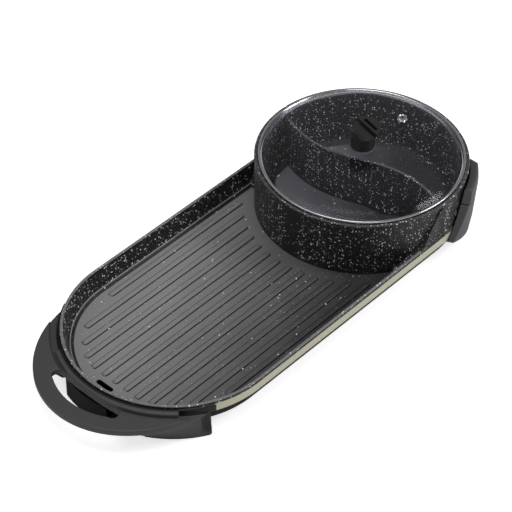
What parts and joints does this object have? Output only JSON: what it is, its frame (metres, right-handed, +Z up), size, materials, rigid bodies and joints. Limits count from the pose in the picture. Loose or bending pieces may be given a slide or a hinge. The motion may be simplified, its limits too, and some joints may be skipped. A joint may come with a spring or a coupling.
{
  "type": "electric grill and hot pot combination",
  "caption": "Countertop electric cooker: long ribbed grill plate cast in one with a divided round hot pot, glass lid, end handle and control housing.",
  "frame": {"origin": "centre of the footprint box on the table surface, under the rubber feet", "axes": "+X from the grill end to the pot end, +Y to the far long side, +Z up"},
  "size_m": [0.7172, 0.294, 0.1516],
  "materials": {
    "coating": "satin black non-stick coating with fine white specks",
    "champagne_paint": "satin champagne paint",
    "black_steel": "satin black paint",
    "reflector_sheet": "bright rolled sheet",
    "bright_steel": "bright polished",
    "black_plastic": "satin moulded phenolic",
    "foot_rubber": "matte",
    "wire_sleeve": "woven glass sleeve",
    "moulded_insulator": "matte insulator",
    "red_lens": "gloss translucent",
    "silicone": "matte silicone",
    "lid_glass": "clear tempered glass"
  },
  "bodies": {
    "base": {"pan_casting": "coating", "base_band": "champagne_paint", "base_dish": "black_steel", "heat_reflector": "reflector_sheet", "grill_heater": "bright_steel", "pot_heater": "bright_steel", "grill_heater_clamp_left": "bright_steel", "grill_heater_clamp_near": "bright_steel", "grill_heater_clamp_far": "bright_steel", "pot_heater_clamp_near": "bright_steel", "pot_heater_clamp_far": "bright_steel", "tray_runner_near": "bright_steel", "tray_runner_far": "bright_steel", "base_screw_1": "bright_steel", "base_screw_2": "bright_steel", "base_screw_3": "bright_steel", "base_screw_4": "bright_steel", "grill_handle_screw_near": "bright_steel", "grill_handle_screw_far": "bright_steel", "pot_leg_screw_near": "bright_steel", "pot_leg_screw_far": "bright_steel", "housing_screw_near": "bright_steel", "housing_screw_far": "bright_steel", "inlet_pin_live": "bright_steel", "inlet_pin_earth": "bright_steel", "inlet_pin_neutral": "bright_steel", "grill_handle": "black_plastic", "pot_end_housing": "black_plastic", "pot_leg_near": "black_plastic", "pot_leg_far": "black_plastic", "inlet_socket": "black_plastic", "grill_foot_near": "foot_rubber", "grill_foot_far": "foot_rubber", "pot_foot_near": "foot_rubber", "pot_foot_far": "foot_rubber", "wire_grill_live": "wire_sleeve", "wire_grill_return": "wire_sleeve", "wire_pot_live": "wire_sleeve", "wire_pot_return": "wire_sleeve", "grill_thermostat": "moulded_insulator", "pot_thermostat": "moulded_insulator", "terminal_block": "moulded_insulator", "grill_lamp": "red_lens", "pot_lamp": "red_lens"},
    "lid": {"lid_glass": "lid_glass", "lid_rim": "bright_steel", "lid_knob": "black_plastic", "knob_gasket": "silicone", "lid_screw": "bright_steel", "steam_vent": "bright_steel"},
    "grill_control": {"grill_knob": "black_plastic", "grill_knob_shaft": "bright_steel"},
    "pot_control": {"pot_knob": "black_plastic", "pot_knob_shaft": "bright_steel"},
    "tray": {"drip_tray": "black_steel"}
  },
  "joints": [
    {"name": "lid_lift", "type": "slide", "parent": "base", "child": "lid", "axis": [0, 0, 1], "range_m": [0, 0.12]},
    {"name": "grill_knob_turn", "type": "hinge", "parent": "base", "child": "grill_control", "pos_m": [0.34645, -0.0295, 0.039], "axis": [1, 0, 0], "range_deg": [-270, 0]},
    {"name": "pot_knob_turn", "type": "hinge", "parent": "base", "child": "pot_control", "pos_m": [0.34645, 0.0295, 0.039], "axis": [1, 0, 0], "range_deg": [-270, 0]},
    {"name": "tray_slide", "type": "slide", "parent": "base", "child": "tray", "axis": [-1, 0, 0], "range_m": [0, 0.07]}
  ]
}
